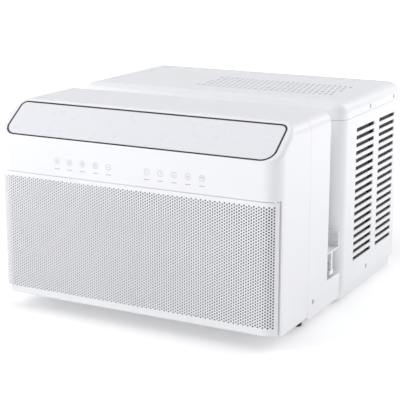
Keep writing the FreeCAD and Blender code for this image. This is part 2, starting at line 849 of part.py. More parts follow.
def side_arm(node, side):
    """Sliding arm: foot in the guide, web, shelf and an upright with long ribs."""
    body = new_body()
    start = d.arm_gap if side > 0 else -half + 0.4
    shelf, top, rear = d.arm_shelf, d.arm_top, d.arm_rear
    sketch = sketch_on(body, "YZ_Plane", start)
    points = [
        (208.3, 66.6), (222.7, 66.6), (222.7, 73.9), (218.6, 73.9), (218.6, shelf),
        (rear, shelf), (rear, top),
    ]
    level = top - 3
    for _ in range(4):
        points += [(rear - 3, level + 1.6), (rear - 4.6, level + 1.6), (rear - 4.6, level),
                   (rear - 3, level)]
        level = level - 6
    points[7:7] = [(rear - 3, top)]
    points += [(rear - 3, shelf + 2.4), (198.5, shelf + 2.4), (198.5, shelf), (212.4, shelf),
               (212.4, 73.9), (208.3, 73.9)]
    outline(sketch, points)
    pad(body, sketch, half - 0.4 - d.arm_gap)
    return finish(body, node)


# ---- outdoor half -----------------------------------------------------------------------------

def case_block(inset, z, top_radius=None):
    edge = half - inset
    block = box((-edge, edge), (d.case_front + inset, d.case_rear - inset), z)
    rules = [(d.case_radius - inset, upright)]
    if top_radius is not None:
        level = z[1]
        rules.append((top_radius, lambda e: not upright(e) and above(level)(e)))
    return rounded(block, *rules)


def outdoor_case():
    """Front wall and louvred sides in one wrap, with a frame for the rear guard."""
    z = (d.case_low, d.case_high)
    shell = cut(case_block(0, z), case_block(d.case_wall, (d.case_low - 2, d.case_high + 2)))
    rear = box((-222, 222), (d.case_rear - 6, d.case_rear + 2), (36, 300))
    pipes = box((120, 216), (d.case_front - 2, d.case_front + 6), (30, 56))
    slots = []
    for number in range(SLOT_ROWS):
        low = d.slot_low + d.slot_pitch * number
        for start, end in ((311, 395.5), (419.5, 497)):
            slots.append(box((-half - 1, half + 1), (start, end), (low, low + d.slot_tall)))
    screws = [rod("x", s * half - 5, s * half + 5, 375.7, 37.8, 4.3) for s in (-1, 1)]
    return finish(cut(shell, rear, pipes, *slots, *screws), "outdoor_case")


def top_cover():
    """Top cover with a shallow recess and staggered vent slots."""
    low = d.case_high + d.gap
    outer = case_block(0, (low, d.height), d.cover_radius)
    inner = case_block(d.case_wall, (low - 30, d.height - d.cover_wall), d.cover_radius - 2.2)
    recess = rounded(box((-217, 200), (300, 497), (d.height - 1.2, d.height + 5)), (14, upright))
    vents = []
    for row_number in range(VENT_ROWS):
        y = 322 + 23 * row_number
        shift = 5 * (row_number % 2)
        for column in range(VENT_COLUMNS):
            x = -56 + 10 * column + shift
            vents.append(box((x, x + 3), (y, y + 15), (d.height - 6, d.height + 1)))
    screws = [rod("x", s * half - 5, s * half + 5, y, 319.6, 4.3)
              for s in (-1, 1) for y in (372.7, 490.8)]
    return finish(cut(outer, inner, recess, *vents, *screws), "top_cover")


def condenser_guard():
    """Rear guard: flat frame with upright and cross wires."""
    start = d.case_rear + 0.3
    frame = cut(box((-228, 228), (start, start + 6), (30, 306)),
                box((-218, 218), (start - 1, start + 8), (40, 296)))
    uprights = [rod("z", 34, 302, -210 + 15 * n, 540.6, 1.5) for n in range(29)]
    crosses = [rod("x", -224, 224, 543.5, 64 + 52 * n, 1.5) for n in range(5)]
    side_posts = [box((x - 2, x + 2), (start + 4, d.depth - 0.6), (34, 302)) for x in (-223, 223)]
    return finish(fuse(frame, *uprights, *crosses, *side_posts), "condenser_guard")


def base_pan():
    """Floor tray: deep under the outdoor half, shallow under the bridge, with a drain spout."""
    body = new_body()
    low = d.foot_tall
    wide = half - d.pan_inset
    tongue = half - 18.5
    deep = sketch_on(body, "XY_Plane", low)
    soft_rectangle(deep, (-wide, wide), (256, 529), 19)
    pad(body, deep, 34)
    bridge = sketch_on(body, "XY_Plane", low)
    rectangle(bridge, (-tongue, tongue), (100, 257))
    pad(body, bridge, 11.4)
    wall = d.pan_wall
    inside = sketch_on(body, "XY_Plane", low + wall)
    soft_rectangle(inside, (-wide + wall, wide - wall), (256 + wall, 529 - wall), 17.5)
    pocket(body, inside, 40, reverse=True)
    shallow = sketch_on(body, "XY_Plane", low + wall)
    rectangle(shallow, (-tongue + wall, tongue - wall), (100 + wall, 254))
    pocket(body, shallow, 40, reverse=True)
    spout = sketch_on(body, "XY_Plane", low - 4)
    circle(spout, 0, 440, d.drain_radius + 3)
    pad(body, spout, 5.5)
    drain = sketch_on(body, "XY_Plane", low - 5)
    circle(drain, 0, 440, d.drain_radius)
    pocket(body, drain, 8, reverse=True)
    bolts = sketch_on(body, "XY_Plane", low - 1)
    for x in (-120, 120):
        circle(bolts, x, 268, 2.75)
    pocket(body, bolts, 4, reverse=True)
    return finish(body, "base_pan")


def feet():
    pads = []
    for y in FEET_Y:
        for x in (-FOOT_X, FOOT_X):
            pads.append(rod("z", 0, d.foot_tall, x, y, 10))
    return finish(group(*pads), "feet")


def fan_shroud():
    """Box behind the fan that guides air into the condenser."""
    body = new_body()
    outside = sketch_on(body, "XZ_Plane", -490)
    rectangle(outside, (-236, 222), (42, 305))
    pad(body, outside, 35)
    inside = sketch_on(body, "XZ_Plane", -490)
    rectangle(inside, (-233.5, 219.5), (44.5, 302.5))
    pocket(body, inside, 32.5, reverse=True)
    ring = sketch_on(body, "XZ_Plane", -457)
    circle(ring, d.fan_x, d.fan_z, d.fan_radius + 8.5)
    pad(body, ring, 27)
    throat = sketch_on(body, "XZ_Plane", -460)
    circle(throat, d.fan_x, d.fan_z, d.fan_radius + 6)
    pocket(body, throat, 40, reverse=True)
    return finish(body, "fan_shroud")


def condenser_fan():
    """Axial fan with pitched blades and a slinger ring, on its shaft."""
    body = new_body()
    hub = sketch_on(body, "XZ_Plane", 0)
    circle(hub, 0, 0, 28)
    pad(body, hub, 26, both_ways=True)
    blade = body.newObject("Sketcher::SketchObject", "Blade")
    plane = [f for f in body.Origin.OriginFeatures if f.Role == "XZ_Plane"][0]
    blade.AttachmentSupport = [(plane, "")]
    blade.MapMode = "FlatFace"
    blade.AttachmentOffset = Placement(Vector(0, 0, 0), Rotation(Vector(1, 0, 0), 27))
    outline(blade, [(20, -14), (70, -36, -120), (110, -30, -90), (113, 24, 90), (60, 20, 90),
                    (20, 10)])
    first = pad(body, blade, 2.4, both_ways=True)
    doc.recompute()
    polar_pattern(body, first, "Y_Axis", FAN_BLADES)
    doc.recompute()
    ring = sketch_on(body, "XZ_Plane", -5)
    circle(ring, 0, 0, d.fan_radius)
    circle(ring, 0, 0, d.fan_radius - 7)
    pad(body, ring, 10, reverse=True)
    shaft = sketch_on(body, "XZ_Plane", 0)
    circle(shaft, 0, 0, d.shaft_radius)
    pad(body, shaft, 54)
    return finish(body, "condenser_fan", d.fan_x, 440, d.fan_z)


def fan_motor():
    can = rod("y", 331, 395, d.fan_x, d.fan_z, d.motor_radius)
    boss = rod("y", 394, 402, d.fan_x, d.fan_z, 14)
    bore = rod("y", 380, 404, d.fan_x, d.fan_z, d.shaft_radius + d.running_gap)
    return finish(cut(fuse(can, boss), bore), "fan_motor")


def motor_bracket():
    """Sheet bracket that stands in the pan and carries the fan motor."""
    post = box((d.fan_x - 34, d.fan_x + 34), (325.6, 330.6), (7.6, d.fan_z + 50))
    toe = box((d.fan_x - 34, d.fan_x + 34), (296, 330.6), (7.6, 12))
    window = box((d.fan_x - 18, d.fan_x + 18), (320, 335), (30, 90))
    return finish(cut(fuse(post, toe), window), "motor_bracket")


def capsule(x, y, low, high, radius, dome):
    """Revolved vessel with domed ends."""
    body = new_body()
    profile = sketch_on(body, "XZ_Plane")
    span = as_size(radius)
    curve = (span.value ** 2 + dome ** 2) / (2 * dome)
    outline(profile, [
        (0, low), (span, low + dome, curve), (span, high - dome), (0, high, curve),
    ])
    turn = body.newObject("PartDesign::Revolution", "Turn")
    turn.Profile = profile
    turn.ReferenceAxis = (profile, ["V_Axis"])
    turn.Angle = 360
    doc.recompute()
    locate(body, x, y, 0)
    return body


def pump_bolt_places():
    for angle in (90, 210, 330):
        yield (d.pump_x + 66 * math.cos(math.radians(angle)),
               d.pump_y + 66 * math.sin(math.radians(angle)))


def compressor():
    plate = rod("z", 20.4, 24.4, d.pump_x, d.pump_y, 76)
    holes = [rod("z", 15, 30, x, y, 5) for x, y in pump_bolt_places()]
    shell = capsule(d.pump_x, d.pump_y, 24, 235, d.pump_radius, 20)
    neck = rod("z", 230, 237, d.pump_x, d.pump_y, 7)
    return finish(fuse(cut(plate, *holes), shell, neck), "compressor")


def accumulator():
    shell = capsule(d.tank_x, d.tank_y, 60, 220, d.tank_radius, 14)
    elbow = feature_of(solid(tube([(212, 298, 66), (212, 298, 45), (191.9, 314.3, 45)], 9, 5)))
    return finish(fuse(shell, elbow), "accumulator")


def compressor_grommets():
    rubbers = [cut(rod("z", 7.6, 20.3, x, y, 12), rod("z", 7, 21, x, y, 4.8))
               for x, y in pump_bolt_places()]
    return finish(group(*rubbers), "compressor_grommets")


def compressor_nuts():
    studs = []
    for x, y in pump_bolt_places():
        nut = doc.addObject("Part::Prism", "Nut")
        bind(nut, Circumradius=8, Height=6)
        nut.Polygon = 6
        locate(nut, x, y, 24.6)
        studs.append(fuse(nut, rod("z", 7.6, 34, x, y, 4.3)))
    return finish(group(*studs), "compressor_nuts")


def terminal_cover():
    block = box((132, 168), (279, 294.6), (140, 186))
    return finish(rounded(block, (5, lambda e: e.BoundBox.YMax < 280)), "terminal_cover")


def heat_sink():
    """Finned aluminium block over the compressor."""
    base = box((72, 200), (290, 420), (280, 284.6))
    fins = [box((74 + 8.8 * n, 76 + 8.8 * n), (290, 420), (263, 281)) for n in range(15)]
    return finish(fuse(base, *fins), "heat_sink")


def inverter_tray():
    plate = box((58, 240), (272, 428), (290, 292))
    posts = [box((60, 64), (y, y + 8), (287, 290.5)) for y in (276, 416)]
    return finish(fuse(plate, *posts), "inverter_tray")


def pipe(node, points, bend, radius):
    return finish(feature_of(solid(tube(points, bend, radius))), node)


def screw_group(node, places):
    """Pan-head screws through the side walls, mirrored left and right."""
    screws = []
    for y, z in places:
        for side in (-1, 1):
            head = sorted((side * (half.value - 1.4), side * (half.value - 0.2)))
            shank = sorted((side * (half.value - 5), side * (half.value - 1.3)))
            screws.append(fuse(rod("x", head[0], head[1], y, z, 4), rod("x", shank[0], shank[1], y, z, 1.7)))
    return finish(group(*screws), node)


def stepper_motor():
    """Small motor that drives the louver door."""
    return finish(fuse(rod("x", 192, 210, 62, 238, 12), rod("x", 210, 214, 62, 238, 3)),
                  "louver_motor")


def build():
    front_bezel()
    grille_panel()
    air_filter()
    louver_door()
    louver_seal()
    rear_housing()
    cord_gland()
    scroll_casing()
    outlet_duct()
    places = vane_places()
    for bank, chosen in (("left", places[:4]), ("right", places[4:])):
        for number, x in enumerate(chosen, 1):
            vane("vane_%s_%d" % (bank, number), x)
        vane_link("vane_link_" + bank, chosen)
    stepper_motor()
    blower_wheel()
    blower_bearing()
    blower_motor()
    fin_block("evaporator_fins", (-205, 185), (32, 62), (40, 226), 47, 52, d.evap_pitch,
              EVAPORATOR_PASSES)
    serpentine("evaporator_tubes", (-205, 185), 47, 52, d.evap_pitch, EVAPORATOR_PASSES)
    tray("drain_tray", (-226, 190), (27, 70), (26.8, 37), 1.6)
    control_box()
    board("control_board", (232, 233.6), (30, 86), (66, 209),
          [((224, 232.5), (34, 56), (120, 150)), ((220, 232.5), (60, 80), (80, 112)),
           ((226, 232.5), (38, 80), (170, 196))])
    board("display_board", (-160, 160), (4.2, 5.8), (238, 261),
          [((x - 6, x + 6), (5.5, 8.5), (243, 255)) for x in (-120, -60, 0, 60, 120)])
    bridge_foam()
    arm_guide()
    side_arm("side_arm_left", -1)
    side_arm("side_arm_right", 1)
    outdoor_case()
    top_cover()
    condenser_guard()
    base_pan()
    feet()
    fin_block("condenser_fins", (-215, 215), (492, 522), (43, 300), 507, 52, d.cond_pitch,
              CONDENSER_PASSES)
    serpentine("condenser_tubes", (-215, 215), 507, 52, d.cond_pitch, CONDENSER_PASSES)
    fan_shroud()
    condenser_fan()
    fan_motor()
    motor_bracket()
    compressor()
    accumulator()
    compressor_grommets()
    compressor_nuts()
    terminal_cover()
    heat_sink()
    board("inverter_board", (70, 202), (288, 422), (285, 286.6),
          [((90, 120), (300, 330), (286, 289.4)), ((150, 190), (340, 400), (286, 289.4))])
    inverter_tray()
    pipe("liquid_line", [(190.3, 47, 52), (209, 47, 52), (209, 259, 52), (229, 284, 52),
                         (229, 507, 52), (220.3, 507, 52)], 5, 3)
    pipe("suction_line", [(190.3, 47, 206), (200, 47, 206), (200, 78, 206), (200, 78, 46),
                          (200, 265, 46), (200, 265, 246), (212, 298, 246), (212, 298, 220.2)], 9, 4.5)
    pipe("discharge_line", [(150, 350, 237.2), (150, 350, 253), (228, 420, 253), (229, 480, 268),
                            (229, 507, 268), (220.3, 507, 268)], 7, 3.5)
    screw_group("bezel_screws", [(138.7, 42.8)])
    screw_group("case_screws", [(372.7, 319.6), (490.8, 319.6), (375.7, 37.8)])


def write_out():
    """Check every object, then write one file for each sub-part."""
    doc.recompute()
    for obj in doc.Objects:
        if "Invalid" in obj.State or "Error" in obj.State:
            raise RuntimeError("%s (%s) failed: %s" % (obj.Name, obj.Label, obj.State))
    os.makedirs("parts", exist_ok=True)
    for node in NODES:
        if node.Shape.isNull() or not node.Shape.isValid():
            raise RuntimeError("%s has a bad shape" % node.Label)
    for node in NODES:
        node.Shape.exportStep(os.path.join("parts", node.Label + ".step"))
        box_ = node.Shape.BoundBox
        print("%-20s solids %2d  volume %9.0f  x %7.1f %7.1f  y %7.1f %7.1f  z %7.1f %7.1f" % (
            node.Label, len(node.Shape.Solids), node.Shape.Volume,
            box_.XMin, box_.XMax, box_.YMin, box_.YMax, box_.ZMin, box_.ZMax))


build()
write_out()
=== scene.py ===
"""Looks of a U-shaped window air conditioner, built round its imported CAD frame. Metres, +Z up."""

import math

import bpy
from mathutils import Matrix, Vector


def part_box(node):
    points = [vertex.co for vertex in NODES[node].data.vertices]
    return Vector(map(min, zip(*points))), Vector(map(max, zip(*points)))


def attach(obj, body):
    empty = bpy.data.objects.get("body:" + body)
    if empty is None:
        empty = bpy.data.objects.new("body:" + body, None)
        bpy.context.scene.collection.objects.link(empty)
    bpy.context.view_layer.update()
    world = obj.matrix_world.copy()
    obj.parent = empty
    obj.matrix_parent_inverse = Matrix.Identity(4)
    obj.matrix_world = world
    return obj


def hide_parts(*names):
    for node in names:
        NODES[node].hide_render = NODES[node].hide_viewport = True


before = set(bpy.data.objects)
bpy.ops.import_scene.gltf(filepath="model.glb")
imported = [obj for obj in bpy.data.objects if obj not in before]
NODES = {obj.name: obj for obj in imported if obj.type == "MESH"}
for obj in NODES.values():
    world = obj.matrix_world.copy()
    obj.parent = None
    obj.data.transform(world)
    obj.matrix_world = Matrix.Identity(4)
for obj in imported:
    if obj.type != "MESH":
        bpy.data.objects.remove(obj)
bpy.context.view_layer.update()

MM = 0.001
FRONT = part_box("front_bezel")[0].y  # plane of the front face
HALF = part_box("front_bezel")[1].x  # half width of the casing
CORNER_RADIUS = 26 * MM  # plan radius of the front's upright corners


# ---------------------------------------------------------------- node helpers


class Shader:
    """A Principled material and the few node chains that the surfaces here are made of."""

    def __init__(self, name, colour, roughness, metallic=0.0, **sockets):
        self.material = bpy.data.materials.new(name)
        self.material.use_nodes = True
        self.tree = self.material.node_tree
        self.shader = self.tree.nodes["Principled BSDF"]
        self.set("Base Color", (*colour, 1.0))
        self.set("Roughness", roughness)
        self.set("Metallic", metallic)
        for socket, value in sockets.items():
            self.set(socket.replace("_", " "), value)
        self.colour, self.roughness = colour, roughness
        self.coordinates = self.node("ShaderNodeTexCoord").outputs["Object"]
        self.normal = None

    def set(self, socket, value):
        self.shader.inputs[socket].default_value = value

    def node(self, kind, inputs=(), **settings):
        made = self.tree.nodes.new(kind)
        for key, value in settings.items():
            setattr(made, key, value)
        for key, value in dict(inputs).items():
            if isinstance(value, bpy.types.NodeSocket):
                self.tree.links.new(value, made.inputs[key])
            else:
                made.inputs[key].default_value = value
        return made

    def link(self, output, socket):
        self.tree.links.new(output, self.shader.inputs[socket])

    def stretched(self, x, y, z):
        """Object coordinates scaled along each axis."""
        scaled = self.node("ShaderNodeMapping", {"Vector": self.coordinates, "Scale": (x, y, z)})
        return scaled.outputs["Vector"]

    def noise(self, scale, detail=3.0, vector=None, roughness=0.5):
        made = self.node("ShaderNodeTexNoise", {"Vector": vector or self.coordinates, "Scale": scale,
                                                "Detail": detail, "Roughness": roughness})
        return made.outputs["Fac"]

    def cells(self, scale, feature="F1", vector=None):
        made = self.node("ShaderNodeTexVoronoi", {"Vector": vector or self.coordinates, "Scale": scale},
                         feature=feature)
        return made.outputs["Distance"]

    def wave(self, scale, direction, vector=None):
        made = self.node("ShaderNodeTexWave", {"Vector": vector or self.coordinates, "Scale": scale},
                         bands_direction=direction)
        return made.outputs["Fac"]

    def spread(self, value, low, high, start=0.3, end=0.7):
        """A 0 to 1 pattern brought to the range low to high."""
        made = self.node("ShaderNodeMapRange", {"Value": value, "From Min": start, "From Max": end,
                                                "To Min": low, "To Max": high})
        return made.outputs["Result"]

    def mix(self, factor, first, second):
        made = self.node("ShaderNodeMix", data_type="RGBA")
        self.tree.links.new(factor, made.inputs[0])
        for index, value in ((6, first), (7, second)):
            if isinstance(value, bpy.types.NodeSocket):
                self.tree.links.new(value, made.inputs[index])
            else:
                made.inputs[index].default_value = (*value, 1.0)
        return made.outputs[2]

    def tint(self, pattern, share, start=0.3, end=0.7, towards=(0.0, 0.0, 0.0)):
        """Varies the colour: the pattern takes it up to share of the way towards another colour."""
        other = [c + (t - c) * share for c, t in zip(self.colour, towards)]
        self.link(self.mix(self.spread(pattern, 0.0, 1.0, start, end), self.colour, other), "Base Color")

    def polish(self, pattern, amount, start=0.3, end=0.7):
        """Varies the roughness by amount either side of its middle value."""
        self.link(self.spread(pattern, self.roughness - amount, self.roughness + amount, start, end),
                  "Roughness")

    def relief(self, pattern, depth, strength=1.0):
        """Adds one layer of bump, depth metres high, over the layers before it."""
        inputs = {"Height": pattern, "Distance": depth, "Strength": strength}
        if self.normal:
            inputs["Normal"] = self.normal
        self.normal = self.node("ShaderNodeBump", inputs).outputs["Normal"]
        self.link(self.normal, "Normal")


# ---------------------------------------------------------------- materials


def moulded(name, colour, roughness, grain=1400.0, depth=0.012 * MM, share=0.02, **sockets):
    """Injection-moulded plastic: slow colour drift, fine spark texture, faint sink waviness."""
    made = Shader(name, colour, roughness, **sockets)
    made.tint(made.noise(9.0, 4.0), share)
    made.polish(made.noise(60.0, 5.0), 0.05)
    made.relief(made.noise(14.0, 2.0), 0.25 * MM, 0.35)
    made.relief(made.noise(grain, 2.0), depth, 0.6)
    return made


def white_plastic():
    return moulded("satin_white", (0.83, 0.832, 0.86), 0.34, Specular_IOR_Level=0.45).material


def door_plastic():
    return moulded("satin_door", (0.775, 0.778, 0.815), 0.3, share=0.008,
                   Specular_IOR_Level=0.45).material


def white_paint():
    """Powder coat: the moulding's white, with a little orange peel."""
    made = Shader("powder_white", (0.835, 0.838, 0.86), 0.36, Specular_IOR_Level=0.45)
    made.tint(made.noise(7.0, 4.0), 0.03)
    made.polish(made.noise(50.0, 5.0), 0.05)
    made.relief(made.noise(420.0, 1.0), 0.02 * MM, 0.5)
    return made.material


def grey_plastic():
    return moulded("grey_moulding", (0.42, 0.43, 0.45), 0.5, grain=900.0, share=0.08).material


def dark_plastic():
    return moulded("black_moulding", (0.018, 0.018, 0.02), 0.48, grain=700.0, share=0.25).material


def fan_plastic():
    """Glass-filled plastic, with the fibres showing as short streaks."""
    made = moulded("fan_moulding", (0.03, 0.03, 0.033), 0.45, grain=900.0, share=0.2)
    made.relief(made.noise(400.0, 2.0, made.stretched(1.0, 1.0, 0.15)), 0.02 * MM, 0.5)
    return made.material


def black_rubber():
    made = Shader("black_gasket", (0.006, 0.006, 0.007), 0.62, Specular_IOR_Level=0.35)
    made.tint(made.noise(80.0, 4.0), 0.06, towards=(0.5, 0.5, 0.5))
    made.polish(made.noise(200.0), 0.08)
    made.relief(made.noise(1600.0, 3.0), 0.02 * MM)
    return made.material


def filter_mesh():
    """Woven filter gauze: threads crossing every 1.2 mm."""
    made = Shader("filter_gauze", (0.05, 0.054, 0.06), 0.6)
    across, up = made.wave(130.0, "X"), made.wave(130.0, "Z")
    weave = made.node("ShaderNodeMath", {0: across, 1: up}, operation="MAXIMUM").outputs["Value"]
    made.tint(weave, 0.8, 0.1, 0.9, towards=(0.12, 0.13, 0.14))
    made.polish(weave, 0.1)
    made.relief(weave, 0.3 * MM)
    return made.material


def foam():
    """Expanded polystyrene: fused beads 3 mm across."""
    made = Shader("bead_foam", (0.8, 0.8, 0.79), 0.85, Specular_IOR_Level=0.2)
    beads = made.cells(330.0)
    made.tint(beads, 0.14, 0.2, 0.8)
    made.polish(made.noise(90.0), 0.06)
    made.relief(beads, -0.35 * MM, 0.8)
    return made.material


def galvanised():
    """Hot-dip zinc: flat spangle crystals, each with its own brightness."""
    made = Shader("zinc_spangle", (0.5, 0.51, 0.525), 0.42, metallic=0.9)
    crystals = made.node("ShaderNodeTexVoronoi", {"Vector": made.coordinates, "Scale": 95.0})
    made.tint(crystals.outputs["Color"], 0.28, 0.1, 0.9)
    made.polish(crystals.outputs["Color"], 0.1, 0.1, 0.9)
    made.relief(made.noise(300.0, 4.0), 0.02 * MM, 0.4)
    return made.material


def fin_aluminium():
    """Rolled foil: fine lines along the strip and a thin dusty film."""
    made = Shader("fin_foil", (0.62, 0.635, 0.65), 0.34, metallic=0.95)
    lines = made.noise(420.0, 3.0, made.stretched(1.0, 1.0, 0.06))
    made.tint(made.noise(30.0, 5.0), 0.16)
    made.polish(lines, 0.1)
    made.relief(lines, 0.015 * MM, 0.6)
    return made.material


def copper():
    """Drawn tube with darker heat and handling stains."""
    made = Shader("drawn_copper", (0.62, 0.28, 0.15), 0.3, metallic=1.0)
    made.tint(made.noise(55.0, 6.0, roughness=0.65), 0.5, 0.42, 0.72, towards=(0.16, 0.07, 0.045))
    made.polish(made.noise(140.0, 4.0), 0.1)
    made.relief(made.noise(900.0, 2.0, made.stretched(0.1, 0.1, 1.0)), 0.01 * MM, 0.5)
    return made.material


def circuit_board():
    """Green solder mask over etched tracks, with tinned pads."""
    made = Shader("solder_mask", (0.012, 0.1, 0.036), 0.28, Coat_Weight=0.3, Coat_Roughness=0.12)
    tracks = made.node("ShaderNodeTexBrick", {"Vector": made.stretched(1.0, 1.0, 1.0), "Scale": 70.0,
                                              "Mortar Size": 0.06, "Color1": (0, 0, 0, 1),
                                              "Color2": (0, 0, 0, 1), "Mortar": (1, 1, 1, 1)})
    pads = made.spread(made.cells(260.0), 1.0, 0.0, 0.1, 0.18)
    green = made.mix(tracks.outputs["Color"], made.colour, (0.03, 0.2, 0.07))
    made.link(made.mix(pads, green, (0.6, 0.6, 0.58)), "Base Color")
    made.polish(made.noise(120.0), 0.06)
    made.relief(tracks.outputs["Fac"], 0.04 * MM)
    return made.material


def motor_steel():
    """Zinc-plated can, turned round its axis."""
    made = Shader("plated_can", (0.48, 0.49, 0.5), 0.36, metallic=0.9)
    turned = made.noise(700.0, 3.0, made.stretched(0.08, 0.08, 1.0))
    made.tint(made.noise(22.0, 4.0), 0.12)
    made.polish(turned, 0.09)
    made.relief(turned, 0.012 * MM, 0.6)
    return made.material


def compressor_black():
    """Thick black enamel with orange peel."""
    made = Shader("black_enamel", (0.012, 0.012, 0.014), 0.3, Coat_Weight=0.2, Coat_Roughness=0.2)
    made.tint(made.noise(35.0, 5.0), 0.05, towards=(0.6, 0.6, 0.6))
    made.polish(made.noise(70.0, 4.0), 0.08)
    made.relief(made.noise(220.0, 1.0), 0.08 * MM, 0.5)
    return made.material


def fastener():
    made = Shader("zinc_screw", (0.55, 0.555, 0.57), 0.3, metallic=0.95)
    made.tint(made.noise(240.0, 5.0), 0.3)
    made.polish(made.noise(400.0), 0.1)
    made.relief(made.noise(1500.0, 2.0), 0.01 * MM)
    return made.material


def white_screw():
    made = Shader("painted_screw", (0.5, 0.5, 0.52), 0.3, metallic=0.35)
    made.tint(made.noise(320.0, 5.0), 0.35)
    made.polish(made.noise(500.0), 0.1)
    made.relief(made.noise(1200.0, 2.0), 0.02 * MM)
    return made.material


def key_print():
    """Grey pad-printed ink of the touch keys."""
    made = Shader("key_ink", (0.2, 0.205, 0.23), 0.5)
    made.tint(made.noise(2500.0, 3.0), 0.35, towards=(0.5, 0.5, 0.54))
    made.polish(made.noise(900.0), 0.06)
    made.relief(made.noise(3000.0), 0.01 * MM)
    return made.material


FLOOR_GLOW = (0.2, 0.75)  # emission near the object and far from it
FLOOR_REACH = (0.5, 3.0)  # metres from the middle, where the rise starts and ends


def pale_floor():
    """White studio floor that glows a little more with distance, so that it has no horizon."""
    made = Shader("studio_floor", (0.93, 0.93, 0.93), 0.75, Specular_IOR_Level=0.1)
    made.tint(made.noise(3.0), 0.01)
    reach = made.node("ShaderNodeVectorMath", {0: made.coordinates}, operation="LENGTH").outputs["Value"]
    made.set("Emission Color", (1.0, 1.0, 1.0, 1.0))
    made.link(made.spread(reach, *FLOOR_GLOW, *FLOOR_REACH), "Emission Strength")
    return made.material


SLOT_MAKERS = (white_plastic, white_paint, door_plastic, black_rubber, dark_plastic, grey_plastic,
               filter_mesh, foam, galvanised, fin_aluminium, copper, circuit_board, motor_steel,
               compressor_black, fan_plastic, fastener, white_screw)
FINISH = {maker.__name__: maker() for maker in SLOT_MAKERS}


def dress_cad_nodes():
    """Gives each CAD node the finish that its packed material slot names."""
    for node in NODES.values():
        for slot in node.material_slots:
            slot.material = FINISH[slot.material.name.split(".")[0]]


# ---------------------------------------------------------------- mesh helpers


def piece(name, verts, faces, body, slot, *stands_for, material=None, smooth=False):
    """One Blender object from points and faces, riding on a CAD body."""
    mesh = bpy.data.meshes.new(name)
    mesh.from_pydata([tuple(v) for v in verts], [], faces)
    mesh.validate()
    mesh.update()
    mesh.materials.append(material or FINISH[slot])
    made = bpy.data.objects.new(name, mesh)
    bpy.context.scene.collection.objects.link(made)
    if smooth:
        mesh.shade_smooth()
    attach(made, body)
    if stands_for:
        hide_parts(*stands_for)
    return made


def apply_modifiers(made):
    graph = bpy.context.evaluated_depsgraph_get()
    finished = bpy.data.meshes.new_from_object(made.evaluated_get(graph))
    made.modifiers.clear()
    made.data = finished


def box_mesh(low, high, verts, faces):
    """Adds one closed block to a list of points and faces."""
    first = len(verts)
    for i in range(8):
        verts.append(tuple((high if i >> axis & 1 else low)[axis] for axis in range(3)))
    sides = ((0, 2, 3, 1), (4, 5, 7, 6), (0, 1, 5, 4), (2, 6, 7, 3), (0, 4, 6, 2), (1, 3, 7, 5))
    faces.extend([tuple(first + i for i in side) for side in sides])


# ---------------------------------------------------------------- perforated intake grille

HOLE_PITCH = 4.6 * MM  # up one column of holes
COLUMN_PITCH = HOLE_PITCH * math.sqrt(3) / 2
HOLE_RADIUS = 1.5 * MM
HOLE_SIDES = 12
PANEL_THICKNESS = 2.2 * MM
EDGE_ROUND = 1.2 * MM
SWING_CLEARANCE = 2.1 * MM  # between the wrapped sides and the casing, for the hinge's swing
SOLID_TOP, SOLID_FOOT, SOLID_SIDE = 6 * MM, 11 * MM, 5 * MM  # unperforated borders


def wrap(along, up, inward):
    """A point of the grille's skin: along its plan curve from the middle, up, and in from the front."""
    flat = HALF - CORNER_RADIUS
    side = math.copysign(1.0, along)
    beyond = max(abs(along) - flat, 0.0) / CORNER_RADIUS
    reach = CORNER_RADIUS - inward
    return (side * (min(abs(along), flat) + reach * math.sin(beyond)),
            FRONT + CORNER_RADIUS - reach * math.cos(beyond), up)


def clip(polygon, low, high, axis):
    """Cuts a polygon of 2-D points to low..high along one axis."""
    for limit, keep in ((low, 1), (high, -1)):
        kept = []
        for here, there in zip(polygon, polygon[1:] + polygon[:1]):
            a, b = (here[axis] - limit) * keep, (there[axis] - limit) * keep
            if a >= 0:
                kept.append(here)
            if (a > 0 > b) or (a < 0 < b):
                t = a / (a - b)
                kept.append(tuple(p + (q - p) * t for p, q in zip(here, there)))
        polygon = kept
    return polygon


